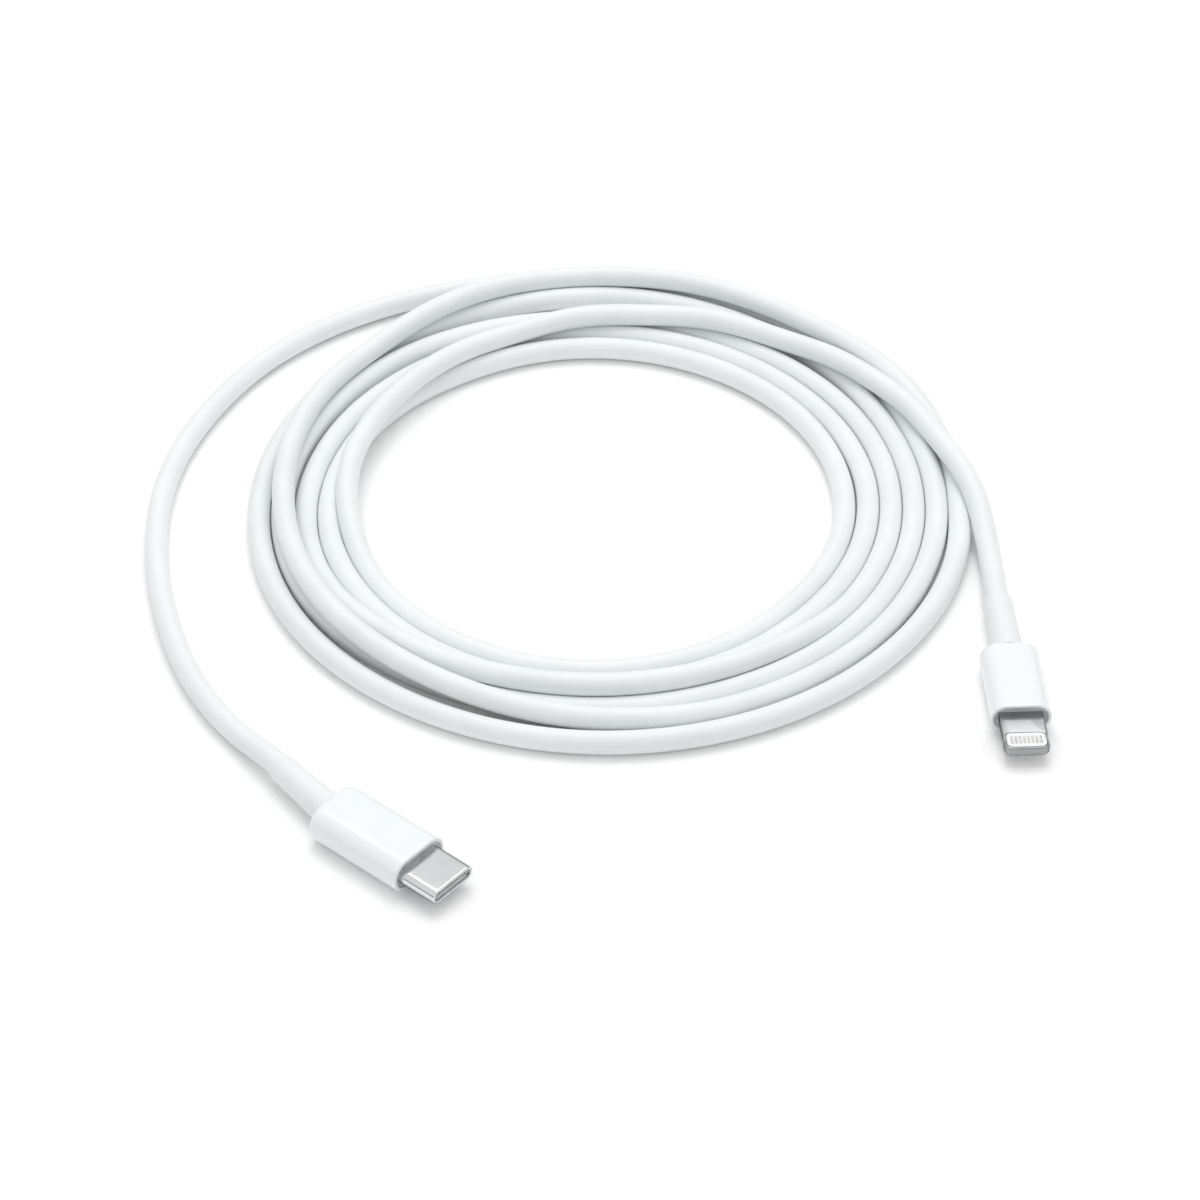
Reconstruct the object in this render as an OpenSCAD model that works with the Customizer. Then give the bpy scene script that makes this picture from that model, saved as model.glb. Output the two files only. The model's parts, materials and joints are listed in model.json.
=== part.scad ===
// Charging cable: a round white cord lying in a loose coil, with a 24-contact reversible plug on
// one end (the charger plug) and an 8-contact reversible plug on the other (the phone plug).
// X runs to the right, Y away from the reader and Z up. The cable lies on the plane z = 0, and
// the origin is under the middle of the box round the two plugs.

/* [Layout] */
// Coil centre, left to right
coil_x = -10.5; // [-20:0.1:0]
// Coil centre, front to back
coil_y = 58.2; // [50:0.1:70]
// Charger plug's mouth from the coil centre, left to right
charger_x = -24.5; // [-30:0.1:-20]
// Charger plug's mouth from the coil centre, front to back
charger_y = -83.6; // [-90:0.1:-80]
// Direction in which the charger plug points
charger_angle = -40.5; // [-60:0.5:-20]
// Phone plug's mouth from the coil centre, left to right
phone_x = 63.4; // [60:0.1:70]
// Phone plug's mouth from the coil centre, front to back
phone_y = -52.3; // [-60:0.1:-45]
// Direction in which the phone plug points
phone_angle = -87.5; // [-100:0.1:-80]

/* [Cord] */
// Diameter of the cord
cord_d = 3.6; // [3:0.1:3.8]
// Inside radius of the coil
coil_inner_r = 37.8; // [30:0.1:45]
// Outside radius of the coil
coil_outer_r = 60.2; // [52:0.1:62]
// Height of the heaped turns
coil_h = 8.6; // [7.2:0.1:11]

/* [Charger plug] */
// Length of the housing
charger_len = 17.3; // [17:0.1:20]
// Width of the housing
charger_w = 10.4; // [10.2:0.1:12.3]
// Height of the housing
charger_h = 5.6; // [5.6:0.1:6.5]
// Wall of the housing
charger_wall = 0.6; // [0.5:0.1:0.6]
// Length of the strain relief
charger_relief_len = 12.1; // [8:0.1:16]
// How far the strain relief leans to the plug's left
charger_bend = 8.9; // [0:0.1:12]
// Length of the steel shell in front of the housing
shell_out = 6.4; // [6.2:0.05:6.65]
// Width of the steel shell
shell_w = 8.25; // [8.25:0.01:8.3]
// Height of the steel shell
shell_h = 2.4; // [2.4:0.01:2.45]

/* [Phone plug] */
// Length of the housing
phone_len = 14.8; // [14.8:0.1:18]
// Width of the housing
phone_w = 9.1; // [9:0.1:10]
// Height of the housing
phone_h = 5; // [5:0.1:5.8]
// Wall of the housing
phone_wall = 0.5; // [0.4:0.1:0.5]
// Length of the strain relief
phone_relief_len = 11.9; // [7:0.1:14]
// How far the strain relief leans to the plug's left
phone_bend = -0.4; // [-10:0.1:10]
// Length of the tongue in front of the housing
tongue_out = 7.4; // [7:0.1:8]
// Width of the tongue
tongue_w = 6.7; // [6.6:0.05:6.75]
// Thickness of the tongue
tongue_h = 1.5; // [1.4:0.05:1.55]

/* [Hidden] */
$fn = 48;

cord_r = cord_d / 2;
cord_sides = 8;
relief_sides = 24;
relief_steps = 7;
relief_knee = 0.15;  // share of a strain relief's length that bends
relief_root = 0.4;   // straight part of a strain relief against the housing
core_r = 1.35;       // the cord inside a crimp ring, with its jacket cut back
crimp_r = 1.6;
cut = 0.1;          // how far a cut runs past the face it opens
slack = 0.03;       // clearance between pieces that slide together in assembly
gap = 0.05;         // space left between pieces that follow each other along a plug
rear_side_r = 0.8;  // rounding of a housing's rear edges, seen from the side
tip_step = 0.2;     // how much a strain relief narrows at its outer end
coil_outer_slope = 5;
coil_inner_slope = 3;

// Charger plug, in its own frame: x forward from the mouth's rim, z from its axis
charger_back = -charger_len;
charger_floor = 1.0;                 // thickness of the housing's rear wall
charger_rear_r = 1.4;
charger_hole_r = 2.2;                // hole for the strain relief's neck
charger_relief_tip_r = 2.1;
charger_relief_root_r = 2.5;
collar_front = -0.35;
charger_corner = 2.7;                // corner radius of the housing's section
can_w = 8.2;
can_h = charger_h - 2 * charger_wall - 0.2;
can_t = 0.2;
can_r = 1.6;
collar_back = -5.5;
can_back = -14;
mould_back = charger_back + charger_floor + gap;
crimp_start = mould_back + 0.3;
crimp_end = can_back - 0.4;
wire_y = 0.55;
wire_z = 0.72;
wire_r = 0.38;
wire_end = -10.6;
board_w = 7.4;
board_back = -12;
chip_x = -8.2;                       // middle of the chips along the board
chip_size = 2;
chip_t = 0.6;
small_chip_y = 2.6;
small_chip_l = 1;
small_chip_w = 0.5;
small_chip_t = 0.5;
shell_wall = 0.3;
shell_back = -4.5;
shell_lip = 0.45;                    // how far the shell's front edge rolls in
cavity_w = shell_w - 2 * shell_wall;
cavity_h = shell_h - 2 * shell_wall;
insulator_back = -3;
insulator_front = shell_out - 0.5;
slot_back = 0.4;
slot_half_w = 3.4;
slot_half_h = 0.42;
plate_w = 6.6;
plate_t = 0.2;
play = 0.02;                         // room round a contact, spring or plate in the insulator
contact_count = 12;
contact_pitch = 0.5;
contact_w = 0.22;
contact_t = 0.15;
contact_z = 0.3;                     // inner face of a contact row
contact_tail = 0.9;                  // how far a contact runs on over the board
channel_top = 0.62;                  // depth of a contact's channel from the axis
board_t = 2 * contact_z;
latch_y = 3.36;                      // inner face of a latch arm
latch_t = 0.18;
latch_h = 0.5;
latch_root = -2.4;
latch_tip = 4.6;
latch_hook_l = 0.5;
latch_hook_h = 0.3;
latch_room = 0.8;                    // width of the channel that a latch arm bends in
leaf_z = 0.66;                       // inner face of a ground spring
leaf_t = 0.12;
leaf_root = 0.8;
leaf_tip = 5.4;
leaf_w = 5.8;
finger_count = 4;
finger_pitch = 1.6;
finger_w = 0.8;
finger_l = 0.4;
finger_z = 0.43;                     // lowest point of a ground spring's finger

// Phone plug, in its own frame
phone_back = -phone_len;
phone_floor = 1.0;
phone_rear_r = 1.2;
phone_hole_r = 2;
phone_relief_tip_r = 2.3;
phone_relief_root_r = 2.35;
phone_collar_front = -0.4;
phone_corner = 2.4;
phone_can_w = 6.9;
phone_can_h = 3.4;
phone_can_t = 0.15;
phone_can_r = 1.2;
phone_collar_back = -6.2;
phone_can_back = -11.8;
phone_mould_back = phone_back + phone_floor + gap;
phone_crimp_start = phone_mould_back + 0.3;
phone_crimp_end = phone_can_back - 0.4;
phone_wire_y = 0.5;
phone_wire_z = 0.6;
phone_wire_r = 0.33;
phone_wire_end = -9.6;
phone_board_w = 5.4;
phone_board_t = 0.5;
phone_board_back = -11;
phone_chip_x = -8;
phone_chip_w = 2.2;
phone_chip_t = 0.5;
phone_small_chip_y = 2;
phone_small_chip_t = 0.4;
tongue_back = -6;
tongue_edge_r = 0.45;                // rounding of the tongue's section
tongue_corner_r = 1.1;               // front corners of the tongue seen from above
notch_r = 0.5;
notch_x = tongue_out - 2.4;
notch_y = tongue_w / 2 + 0.25;
window_back = tongue_out - 3.5;
window_front = tongue_out - 0.5;
window_w = 5.9;
window_r = 0.9;
blade_t = 0.8;                       // carrier blade inside the steel frame
blade_w = 5.2;
blade_lap = 0.5;                     // how far the blade reaches past the window's back edge
pad_count = 8;
pad_pitch = 0.62;
pad_w = 0.38;
pad_len = 1.5;
pad_t = 0.05;
insert_h = tongue_h - 2 * pad_t;

// Route of the free cord from the charger plug's strain relief to the coil, each point
// [x, y, z] from the coil centre
charger_route = [
    [-51.6, -56, 2], [-56.3, -49.9, 1.8], [-60.3, -42.6, 1.8], [-63.5, -34.7, 1.8], [-65.9, -26.3, 1.8],
    [-67.8, -18, 1.8], [-68.8, -9, 1.8], [-69, 0, 1.8], [-68, 9, 1.8], [-65.6, 18, 1.8],
    [-61.8, 27, 1.8], [-57, 35.5, 1.8], [-50.6, 43, 1.8], [-43, 49.4, 1.8], [-34.6, 54.4, 1.8],
    [-25.6, 58, 1.8], [-16, 60.4, 1.8], [-6, 61.4, 1.8], [4, 61.1, 1.8]];

// Route of the free cord from the phone plug's strain relief to the coil, in the same way
phone_route = [
    [62.1, -21.5, 2.2], [62, -16.5, 1.9], [61.7, -11, 2.3], [61, -5.5, 3.4], [59.4, 0.5, 4.7],
    [57.4, 7, 5.3]];

// ---- shared shapes ----

// Rectangle with round corners, made of true arcs
module rounded_rect(w, h, r) {
    square([w - 2 * r, h], center = true);
    if (h > 2 * r) square([w, h - 2 * r], center = true);
    for (sx = [-1, 1], sy = [-1, 1]) translate([sx * (w / 2 - r), sy * (h / 2 - r)]) circle(r);
}

// Bar along X with a rounded section
module bar(x0, x1, w, h, r) {
    translate([x0, 0, 0]) rotate([90, 0, 90]) linear_extrude(x1 - x0) rounded_rect(w, h, r);
}

// Block between two x values, centred on the axis in y, with its height given from z0 to z1
module block(x0, x1, w, z0, z1) {
    translate([x0, -w / 2, z0]) cube([x1 - x0, w, z1 - z0]);
}

// Cylinder or cone along X
module rod(x0, x1, r0, r1) {
    translate([x0, 0, 0]) rotate([0, 90, 0]) cylinder(h = x1 - x0, r1 = r0, r2 = r1);
}

module tube(x0, x1, r_out, r_in) {
    difference() {
        rod(x0, x1, r_out, r_out);
        rod(x0 - cut, x1 + cut, r_in, r_in);
    }
}

// Outline of a housing seen from above or from the side: square mouth, round rear corners
module rear_rounded(len, w, r) {
    translate([-len + r, -w / 2]) square([len - r, w]);
    translate([-len, -w / 2 + r]) square([len, w - 2 * r]);
    for (s = [-1, 1]) translate([-len + r, s * (w / 2 - r)]) circle(r);
}

// Housing: a rounded tube, closed at the back except for the strain relief's hole
module plug_housing(len, w, h, wall, floor_t, corner, rear_r, hole_r) {
    difference() {
        intersection() {
            bar(-len, 0, w, h, corner);
            translate([0, 0, -h]) linear_extrude(2 * h) rear_rounded(len, w, rear_r);
            rotate([90, 0, 0]) translate([0, 0, -w]) linear_extrude(2 * w)
            rear_rounded(len, h, rear_side_r);
        }
        bar(-len + floor_t, cut, w - 2 * wall, h - 2 * wall, corner - wall);
        rod(-len - cut, -len + floor_t + cut, hole_r, hole_r);
    }
}

// ---- swept shapes ----

function unit(v) = v / norm(v);
function along(p, i) = unit(p[min(i + 1, len(p) - 1)] - p[max(i - 1, 0)]);

// Ring of points round point i of line p, square to the line
function ring(p, i, r, sides) =
    let (t = along(p, i), s = unit(cross(t, [0, 0, 1])), u = cross(s, t))
    [for (k = [0 : sides - 1]) let (a = 360 * (k + 0.5) / sides)
        p[i] + r * (cos(a) * s + sin(a) * u)];

// Round solid swept along line p with radius r[i] at point i, bored to radius bore if that is given
module swept(p, r, sides, bore = 0) {
    n = len(p);
    inner = n * sides;
    last = (n - 1) * sides;
    points = concat([for (i = [0 : n - 1]) each ring(p, i, r[i], sides)],
        bore > 0 ? [for (i = [0 : n - 1]) each ring(p, i, bore, sides)] : []);
    outside = [for (i = [0 : n - 2], k = [0 : sides - 1])
        let (a = i * sides + k, b = i * sides + (k + 1) % sides) [a, b, b + sides, a + sides]];
    inside = [for (i = [0 : n - 2], k = [0 : sides - 1])
        let (a = inner + i * sides + k, b = inner + i * sides + (k + 1) % sides)
        [b, a, a + sides, b + sides]];
    caps = [[for (k = [0 : sides - 1]) sides - 1 - k], [for (k = [0 : sides - 1]) last + k]];
    rims = [for (k = [0 : sides - 1]) let (j = (k + 1) % sides) each [
        [j, k, inner + k, inner + j],
        [last + k, last + j, inner + last + j, inner + last + k]]];
    polyhedron(points, bore > 0 ? concat(outside, inside, rims) : concat(outside, caps));
}

// Line of a strain relief: straight at the housing, a short bend, then straight on, leaning to the
// plug's left
function lean_share(s) = (s < relief_knee ? s * s / (2 * relief_knee) : s - relief_knee / 2)
    / (1 - relief_knee / 2);
function relief_line(back, len, bend) =
    let (root = gap + relief_root)
    concat([[back - gap, 0, 0]], [for (k = [0 : relief_steps]) let (s = k / relief_steps)
        [back - root - (len * cos(bend) - root) * s, len * sin(bend) * lean_share(s), 0]]);

// Strain relief: a tapered sleeve whose straight neck fits the hole in the back of the housing
module relief(back, len, bend, floor_t, tip_r, root_r, neck_r) {
    line = concat([[back + floor_t, 0, 0], [back, 0, 0]], relief_line(back, len, bend));
    taper = [for (k = [0 : relief_steps])
        root_r + (tip_r - root_r) * k / relief_steps - (k == relief_steps ? tip_step : 0)];
    swept(line, concat([neck_r, neck_r, root_r], taper), relief_sides, cord_r);
}

// End of the cord: jacketed through the strain relief, bare inside the housing
module cord_end(back, len, bend, jacket_end, x1) {
    line = concat([[x1, 0, 0], [jacket_end, 0, 0], [jacket_end - slack, 0, 0], [back, 0, 0]],
        relief_line(back, len, bend));
    jacket = [for (k = [0 : relief_steps + 3]) cord_r];
    swept(line, concat([core_r, core_r], jacket), relief_sides);
}

// Collar that closes the mouth of a housing round the metal part
module collar(x0, x1, w, h, r, hole_w, hole_h, hole_r) {
    difference() {
        bar(x0, x1, w, h, r);
        bar(x0 - cut, x1 + cut, hole_w, hole_h, hole_r);
    }
}

// Upper half of a shield can: a rounded tray open at its front and towards the board
module shield_half(x0, x1, w, h, t, r) {
    difference() {
        bar(x0, x1, w, h, r);
        bar(x0 + t, x1 + cut, w - 2 * t, h - 2 * t, r - t);
        rod(x0 - cut, x0 + t + cut, core_r, core_r);
        block(x0 - cut, x1 + cut, w + 2 * cut, -h, play);
    }
}

// Chip of length l, width w and thickness t, centred at x, y on a board
module chip(x, y, l, w, t) {
    translate([0, y, 0]) block(x - l / 2, x + l / 2, w, 0, t);
}

// A row of equal bars across y
module across(count, pitch) {
    for (i = [0 : count - 1]) translate([0, (i - (count - 1) / 2) * pitch, 0]) children();
}

// ---- placing ----

module at_coil() { translate([coil_x, coil_y, 0]) children(); }

module at_charger_plug() {
    at_coil() translate([charger_x, charger_y, charger_h / 2]) rotate([0, 0, charger_angle]) children();
}

module at_phone_plug() {
    at_coil() translate([phone_x, phone_y, phone_h / 2]) rotate([0, 0, phone_angle]) children();
}

// Centre of a strain relief's outer end, from the coil centre
function heading(a) = [cos(a), sin(a), 0];
function relief_end(x, y, z, angle, back, len, bend) =
    [x, y, z] + back * heading(angle) - len * heading(angle - bend);

charger_start = relief_end(charger_x, charger_y, charger_h / 2, charger_angle, charger_back,
    charger_relief_len, charger_bend);
phone_start = relief_end(phone_x, phone_y, phone_h / 2, phone_angle, phone_back,
    phone_relief_len, phone_bend);

// ---- cord ----

module free_cord(line) {
    color("whitesmoke") at_coil() swept(line, [for (q = line) cord_r], cord_sides);
}

module cord_coil() {
    color("whitesmoke") at_coil() rotate_extrude($fn = 2 * $fn) polygon([
        [coil_inner_r, 0], [coil_outer_r, 0], [coil_outer_r, cord_d],
        [coil_outer_r - coil_outer_slope, coil_h], [coil_inner_r + coil_inner_slope, coil_h],
        [coil_inner_r, 1.5 * cord_d]]);
}

module cord_charger_tail() {
    free_cord(concat([charger_start], charger_route));
}

module cord_phone_tail() {
    free_cord(concat([phone_start], phone_route));
}

// ---- charger plug ----

module charger_plug_housing() {
    color("white") at_charger_plug()
        plug_housing(charger_len, charger_w, charger_h, charger_wall, charger_floor, charger_corner,
            charger_rear_r, charger_hole_r);
}

module charger_plug_strain_relief() {
    color("whitesmoke") at_charger_plug()
        relief(charger_back, charger_relief_len, charger_bend, charger_floor, charger_relief_tip_r,
            charger_relief_root_r, charger_hole_r);
}

module charger_plug_front_collar() {
    color("gainsboro") at_charger_plug() collar(collar_back, collar_front,
        charger_w - 2 * charger_wall - slack, charger_h - 2 * charger_wall - slack,
        charger_corner - charger_wall, shell_w + slack, shell_h + slack, (shell_h + slack) / 2);
}

module charger_plug_inner_mould() {
    color("ivory") at_charger_plug() difference() {
        bar(mould_back, can_back - gap, charger_w - 2 * charger_wall - slack,
            charger_h - 2 * charger_wall - slack, charger_corner - charger_wall);
        rod(mould_back - cut, can_back + cut, crimp_r + slack, crimp_r + slack);
    }
}

module charger_plug_crimp_ring() {
    color("silver") at_charger_plug() tube(crimp_start, crimp_end, crimp_r, core_r);
}

module charger_plug_cord_end() {
    color("whitesmoke") at_charger_plug()
        cord_end(charger_back, charger_relief_len, charger_bend, charger_back + charger_floor,
            crimp_end);
}

module charger_plug_wires() {
    color("tomato") at_charger_plug() for (y = [-1, 1], z = [-1, 1])
        translate([0, y * wire_y, z * wire_z]) rod(crimp_end + play, wire_end, wire_r, wire_r);
}

module charger_plug_shield_top() {
    color("silver") at_charger_plug()
        shield_half(can_back, collar_back - gap, can_w, can_h, can_t, can_r);
}

module charger_plug_shield_bottom() {
    color("silver") at_charger_plug() mirror([0, 0, 1])
        shield_half(can_back, collar_back - gap, can_w, can_h, can_t, can_r);
}

module charger_plug_board() {
    color("seagreen") at_charger_plug()
        block(board_back, shell_back - gap, board_w, -board_t / 2, board_t / 2);
}

module charger_plug_chips() {
    color("dimgray") at_charger_plug() translate([0, 0, board_t / 2]) {
        chip(chip_x, 0, chip_size, chip_size, chip_t);
        for (s = [-1, 1]) chip(chip_x, s * small_chip_y, small_chip_l, small_chip_w, small_chip_t);
    }
}

// Steel shell: a drawn stadium tube whose front edge is rolled inwards
module charger_plug_steel_shell() {
    color("silver") at_charger_plug() difference() {
        bar(shell_back, shell_out, shell_w, shell_h, shell_h / 2);
        bar(shell_back - cut, shell_out - shell_lip, cavity_w, cavity_h, cavity_h / 2);
        bar(shell_out - 2 * shell_lip, shell_out + cut, shell_w - 2 * shell_lip,
            shell_h - 2 * shell_lip, shell_h / 2 - shell_lip);
    }
}

module contact_channels(s) {
    across(contact_count, contact_pitch) {
        z0 = s > 0 ? contact_z - play : -channel_top;
        block(insulator_back - cut, latch_tip + 2 * cut, contact_w + 2 * play,
            z0, z0 + channel_top - contact_z + play);
    }
}

module charger_plug_insulator() {
    color("dimgray") at_charger_plug() difference() {
        bar(insulator_back, insulator_front - slack, cavity_w - slack, cavity_h - 2 * slack,
            cavity_h / 2 - slack);
        block(slot_back, insulator_front + cut, 2 * slot_half_w, -slot_half_h, slot_half_h);
        block(insulator_back - cut, slot_back + cut, plate_w + play, -plate_t / 2 - play,
            plate_t / 2 + play);
        for (s = [-1, 1]) {
            contact_channels(s);
            translate([0, s * (latch_y + latch_room * 0.15), 0])
                block(latch_root - 3 * cut, latch_tip + 3 * cut, latch_room,
                    -latch_h / 2 - gap, latch_h / 2 + gap);
        }
        for (m = [0, 1]) mirror([0, 0, m]) {
            block(leaf_root - cut, leaf_tip + cut, leaf_w + 2 * cut, leaf_z - play, cavity_h);
            across(finger_count, finger_pitch)
                block(leaf_tip - finger_l - cut, leaf_tip + cut, finger_w + 2 * cut,
                    slot_half_h - cut, leaf_z);
        }
    }
}

module contact_row() {
    across(contact_count, contact_pitch)
        block(shell_back - contact_tail, latch_tip, contact_w, contact_z, contact_z + contact_t);
}

module charger_plug_upper_contacts() { color("gold") at_charger_plug() contact_row(); }

module charger_plug_lower_contacts() {
    color("gold") at_charger_plug() mirror([0, 0, 1]) contact_row();
}

module charger_plug_mid_plate() {
    color("silver") at_charger_plug() block(shell_back, slot_back, plate_w, -plate_t / 2, plate_t / 2);
}

module latch_arm() {
    translate([latch_root, latch_y, -latch_h / 2]) cube([latch_tip - latch_root, latch_t, latch_h]);
    translate([latch_tip - latch_hook_l - cut, latch_y + cut - latch_hook_h, -latch_h / 2])
        cube([latch_hook_l, latch_hook_h, latch_h]);
}

module charger_plug_left_latch() { color("silver") at_charger_plug() latch_arm(); }

module charger_plug_right_latch() { color("silver") at_charger_plug() mirror([0, 1, 0]) latch_arm(); }

module ground_leaf() {
    block(leaf_root, leaf_tip, leaf_w, leaf_z, leaf_z + leaf_t);
    across(finger_count, finger_pitch)
        block(leaf_tip - finger_l, leaf_tip, finger_w, finger_z, leaf_z);
}

module charger_plug_top_ground_spring() { color("silver") at_charger_plug() ground_leaf(); }

module charger_plug_bottom_ground_spring() {
    color("silver") at_charger_plug() mirror([0, 0, 1]) ground_leaf();
}

// ---- phone plug ----

module phone_plug_housing() {
    color("white") at_phone_plug()
        plug_housing(phone_len, phone_w, phone_h, phone_wall, phone_floor, phone_corner,
            phone_rear_r, phone_hole_r);
}

module phone_plug_strain_relief() {
    color("whitesmoke") at_phone_plug()
        relief(phone_back, phone_relief_len, phone_bend, phone_floor, phone_relief_tip_r,
            phone_relief_root_r, phone_hole_r);
}

module phone_plug_front_collar() {
    color("gainsboro") at_phone_plug() collar(phone_collar_back, phone_collar_front,
        phone_w - 2 * phone_wall - slack, phone_h - 2 * phone_wall - slack, phone_corner - phone_wall,
        tongue_w + slack, tongue_h + slack, tongue_edge_r + slack);
}

module phone_plug_inner_mould() {
    color("ivory") at_phone_plug() difference() {
        bar(phone_mould_back, phone_can_back - gap, phone_w - 2 * phone_wall - slack,
            phone_h - 2 * phone_wall - slack, phone_corner - phone_wall);
        rod(phone_mould_back - cut, phone_can_back + cut, crimp_r + slack, crimp_r + slack);
    }
}

module phone_plug_crimp_ring() {
    color("silver") at_phone_plug() tube(phone_crimp_start, phone_crimp_end, crimp_r, core_r);
}

module phone_plug_cord_end() {
    color("whitesmoke") at_phone_plug()
        cord_end(phone_back, phone_relief_len, phone_bend, phone_back + phone_floor,
            phone_crimp_end);
}

module phone_plug_wires() {
    color("tomato") at_phone_plug() for (y = [-1, 1], z = [-1, 1])
        translate([0, y * phone_wire_y, z * phone_wire_z])
            rod(phone_crimp_end + play, phone_wire_end, phone_wire_r, phone_wire_r);
}

module phone_plug_shield_top() {
    color("silver") at_phone_plug()
        shield_half(phone_can_back, phone_collar_back - gap, phone_can_w, phone_can_h, phone_can_t,
            phone_can_r);
}

module phone_plug_shield_bottom() {
    color("silver") at_phone_plug() mirror([0, 0, 1])
        shield_half(phone_can_back, phone_collar_back - gap, phone_can_w, phone_can_h, phone_can_t,
            phone_can_r);
}

module phone_plug_board() {
    color("seagreen") at_phone_plug()
        block(phone_board_back, tongue_back - gap, phone_board_w, -phone_board_t / 2, phone_board_t / 2);
}

module phone_plug_chips() {
    color("dimgray") at_phone_plug() translate([0, 0, phone_board_t / 2]) {
        chip(phone_chip_x, 0, chip_size, phone_chip_w, phone_chip_t);
        for (s = [-1, 1])
            chip(phone_chip_x, s * phone_small_chip_y, small_chip_l, small_chip_w, phone_small_chip_t);
    }
}

// Flat outline of the tongue: square back, round front corners
module tongue_outline() {
    r = tongue_corner_r;
    translate([tongue_back, -tongue_w / 2]) square([tongue_out - r - tongue_back, tongue_w]);
    translate([tongue_back, -tongue_w / 2 + r]) square([tongue_out - tongue_back, tongue_w - 2 * r]);
    for (s = [-1, 1]) translate([tongue_out - r, s * (tongue_w / 2 - r)]) circle(r);
}

module window_shape(grow) {
    translate([(window_back + window_front) / 2, 0])
        rounded_rect(window_front - window_back + grow, window_w + grow, window_r);
}

// Steel frame of the tongue, with a window for the contact insert and a notch at each side
module phone_plug_tongue_frame() {
    color("silver") at_phone_plug() difference() {
        intersection() {
            bar(tongue_back, tongue_out, tongue_w, tongue_h, tongue_edge_r);
            translate([0, 0, -tongue_h]) linear_extrude(2 * tongue_h) tongue_outline();
        }
        translate([0, 0, -tongue_h]) linear_extrude(2 * tongue_h) window_shape(0);
        block(tongue_back - cut, window_back + blade_lap, blade_w, -blade_t / 2, blade_t / 2);
        for (s = [-1, 1]) translate([notch_x, s * notch_y, -tongue_h])
            cylinder(h = 2 * tongue_h, r = notch_r);
    }
}

module phone_plug_contact_insert() {
    color("white") at_phone_plug() {
        translate([0, 0, -insert_h / 2]) linear_extrude(insert_h) window_shape(-slack);
        block(tongue_back, window_back + blade_lap, blade_w - slack,
            -blade_t / 2 + slack / 2, blade_t / 2 - slack / 2);
    }
}

module pad_row() {
    x = (window_back + window_front) / 2;
    across(pad_count, pad_pitch)
        block(x - pad_len / 2, x + pad_len / 2, pad_w, insert_h / 2, insert_h / 2 + pad_t);
}

module phone_plug_upper_contacts() { color("gold") at_phone_plug() pad_row(); }

module phone_plug_lower_contacts() { color("gold") at_phone_plug() mirror([0, 0, 1]) pad_row(); }

cord_coil();
cord_charger_tail();
cord_phone_tail();
charger_plug_housing();
charger_plug_strain_relief();
charger_plug_front_collar();
charger_plug_inner_mould();
charger_plug_crimp_ring();
charger_plug_cord_end();
charger_plug_wires();
charger_plug_shield_top();
charger_plug_shield_bottom();
charger_plug_board();
charger_plug_chips();
charger_plug_steel_shell();
charger_plug_insulator();
charger_plug_upper_contacts();
charger_plug_lower_contacts();
charger_plug_mid_plate();
charger_plug_left_latch();
charger_plug_right_latch();
charger_plug_top_ground_spring();
charger_plug_bottom_ground_spring();
phone_plug_housing();
phone_plug_strain_relief();
phone_plug_front_collar();
phone_plug_inner_mould();
phone_plug_crimp_ring();
phone_plug_cord_end();
phone_plug_wires();
phone_plug_shield_top();
phone_plug_shield_bottom();
phone_plug_board();
phone_plug_chips();
phone_plug_tongue_frame();
phone_plug_contact_insert();
phone_plug_upper_contacts();
phone_plug_lower_contacts();
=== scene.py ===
"""Looks of a coiled charging cable: its cord, both plugs, their finishes, the floor, lights and camera.

Lengths are in millimetres until they go into a mesh, and each plug is worked out in its own frame:
x forward from the rim of its housing's mouth, y to its left, z up from its axis.
"""

import json
from math import cos, pi, radians, sin, sqrt

import bmesh
import bpy
import numpy as np
from mathutils import Matrix, Vector


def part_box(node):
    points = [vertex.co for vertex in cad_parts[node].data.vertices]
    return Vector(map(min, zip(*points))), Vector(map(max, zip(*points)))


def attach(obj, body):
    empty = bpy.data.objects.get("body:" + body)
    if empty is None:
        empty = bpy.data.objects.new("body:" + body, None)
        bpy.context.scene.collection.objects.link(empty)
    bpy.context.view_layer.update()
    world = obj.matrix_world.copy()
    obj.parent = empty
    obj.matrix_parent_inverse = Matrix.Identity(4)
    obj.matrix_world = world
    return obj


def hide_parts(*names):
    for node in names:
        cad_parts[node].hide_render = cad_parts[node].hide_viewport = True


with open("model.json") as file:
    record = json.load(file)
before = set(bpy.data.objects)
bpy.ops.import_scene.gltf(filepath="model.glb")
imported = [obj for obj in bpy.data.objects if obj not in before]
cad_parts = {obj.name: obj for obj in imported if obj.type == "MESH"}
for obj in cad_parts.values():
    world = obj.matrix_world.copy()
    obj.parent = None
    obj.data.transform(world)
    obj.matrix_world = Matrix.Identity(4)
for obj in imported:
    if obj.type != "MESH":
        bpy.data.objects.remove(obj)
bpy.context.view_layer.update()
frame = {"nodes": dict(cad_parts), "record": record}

MM = 0.001
BODY = "cable"

# ---- sizes of the real parts ----

CORD_D = 3.6
CORD_SIDES = 20
CORD_STEP = 1.2            # between the rings of the cord's mesh
PART_STEP = 4.0            # between the points that settle against each other

SHELL_OUT, SHELL_W, SHELL_H, SHELL_WALL = 6.4, 8.25, 2.4, 0.3
TONGUE_OUT, TONGUE_W, TONGUE_H = 7.4, 6.7, 1.5
PAD_COUNT, PAD_PITCH, PAD_LENGTH, PAD_WIDTH, PAD_RISE = 8, 0.62, 1.5, 0.38, 0.05

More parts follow.
